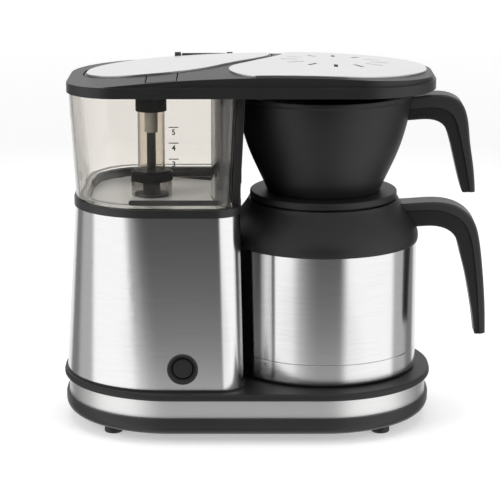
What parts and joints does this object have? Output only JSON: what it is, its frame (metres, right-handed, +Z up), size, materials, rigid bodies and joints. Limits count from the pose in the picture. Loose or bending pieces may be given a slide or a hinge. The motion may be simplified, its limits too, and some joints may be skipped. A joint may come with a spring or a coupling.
{
  "type": "drip coffee maker",
  "caption": "Drip coffee maker with a clear side tank on a steel tower, a vented head, a cone basket with a handle and a steel thermal carafe standing on the base.",
  "frame": {"origin": "middle of the base's footprint, on the counter under the rubber feet", "axes": "+X towards the handles, -Y towards the front with the button, +Z up"},
  "size_m": [0.2853, 0.157, 0.2446],
  "materials": {
    "black_plastic": "fine satin moulding",
    "grip_plastic": "satin moulding, a shade lighter",
    "inner_plastic": "plain moulding",
    "brushed_steel": "brushed along the height",
    "plate_steel": "fine satin steel",
    "band_metal": "satin silver",
    "liner_steel": "bright inside",
    "smoke_clear": "clear plastic with a warm smoke tint",
    "clear_tube": "clear plastic",
    "grey_tube": "grey silicone",
    "button_black": "smooth satin moulding",
    "rubber": "soft rubber",
    "clear_silicone": "milky silicone",
    "heater_metal": "bare extrusion",
    "zinc": "zinc-plated",
    "board_green": "glass-fibre board"
  },
  "bodies": {
    "stand": {"base_pan": "black_plastic", "base_screws": "zinc", "rubber_feet": "rubber", "base_band": "band_metal", "base_deck": "black_plastic", "cord_gland": "rubber", "tower_shell": "brushed_steel", "tank_gasket": "black_plastic", "water_tank": "smoke_clear", "side_panel": "black_plastic", "riser_base": "inner_plastic", "riser_cup": "smoke_clear", "riser_sleeve": "clear_tube", "riser_collar": "black_plastic", "riser_tube": "inner_plastic", "riser_nozzle": "grey_tube", "crossover_tube": "clear_silicone", "boiler_tube": "heater_metal", "heater_rod": "heater_metal", "heater_bracket": "zinc", "thermostat": "inner_plastic", "thermal_fuse": "zinc", "tank_valve": "inner_plastic", "inlet_hose": "clear_silicone", "outlet_hose": "clear_silicone", "hose_clamps": "zinc", "control_board": "board_green", "button_bezel": "button_black", "switch_body": "inner_plastic", "head_frame": "black_plastic", "head_underside": "black_plastic", "head_screws": "zinc", "shower_head": "inner_plastic", "vent_plate": "plate_steel", "lid_pin": "zinc"},
    "button": {"power_button": "button_black", "button_spring": "zinc"},
    "tank_lid": {"tank_lid": "black_plastic", "tank_lid_plate": "plate_steel"},
    "carafe": {"carafe_cup": "brushed_steel", "carafe_shell": "brushed_steel", "carafe_liner": "liner_steel", "carafe_shoulder": "black_plastic", "carafe_handle": "black_plastic", "carafe_grip": "grip_plastic"},
    "carafe_lid": {"carafe_lid": "black_plastic", "lid_seal": "clear_silicone"},
    "basket": {"filter_basket": "black_plastic", "basket_handle": "black_plastic", "basket_grip": "grip_plastic"}
  },
  "joints": [
    {"name": "button_press", "type": "slide", "parent": "stand", "child": "button", "axis": [0, 1, 0], "range_m": [0, 0.0025], "stiffness_N_per_m": 800, "deforming": ["button_spring"]},
    {"name": "tank_lid_hinge", "type": "hinge", "parent": "stand", "child": "tank_lid", "pos_m": [-0.03, 0.066, 0.23596], "axis": [-1, 0, 0], "range_deg": [0, 95]},
    {"name": "carafe_slide", "type": "slide", "parent": "stand", "child": "carafe", "axis": [1, 0, 0], "range_m": [0, 0.2]},
    {"name": "carafe_lid_twist", "type": "hinge", "parent": "carafe", "child": "carafe_lid", "pos_m": [0.0513, 0, 0.1509], "axis": [0, 0, 1], "range_deg": [0, 90]},
    {"name": "basket_slide", "type": "slide", "parent": "carafe", "child": "basket", "axis": [1, 0, 0], "range_m": [0, 0.15]}
  ]
}
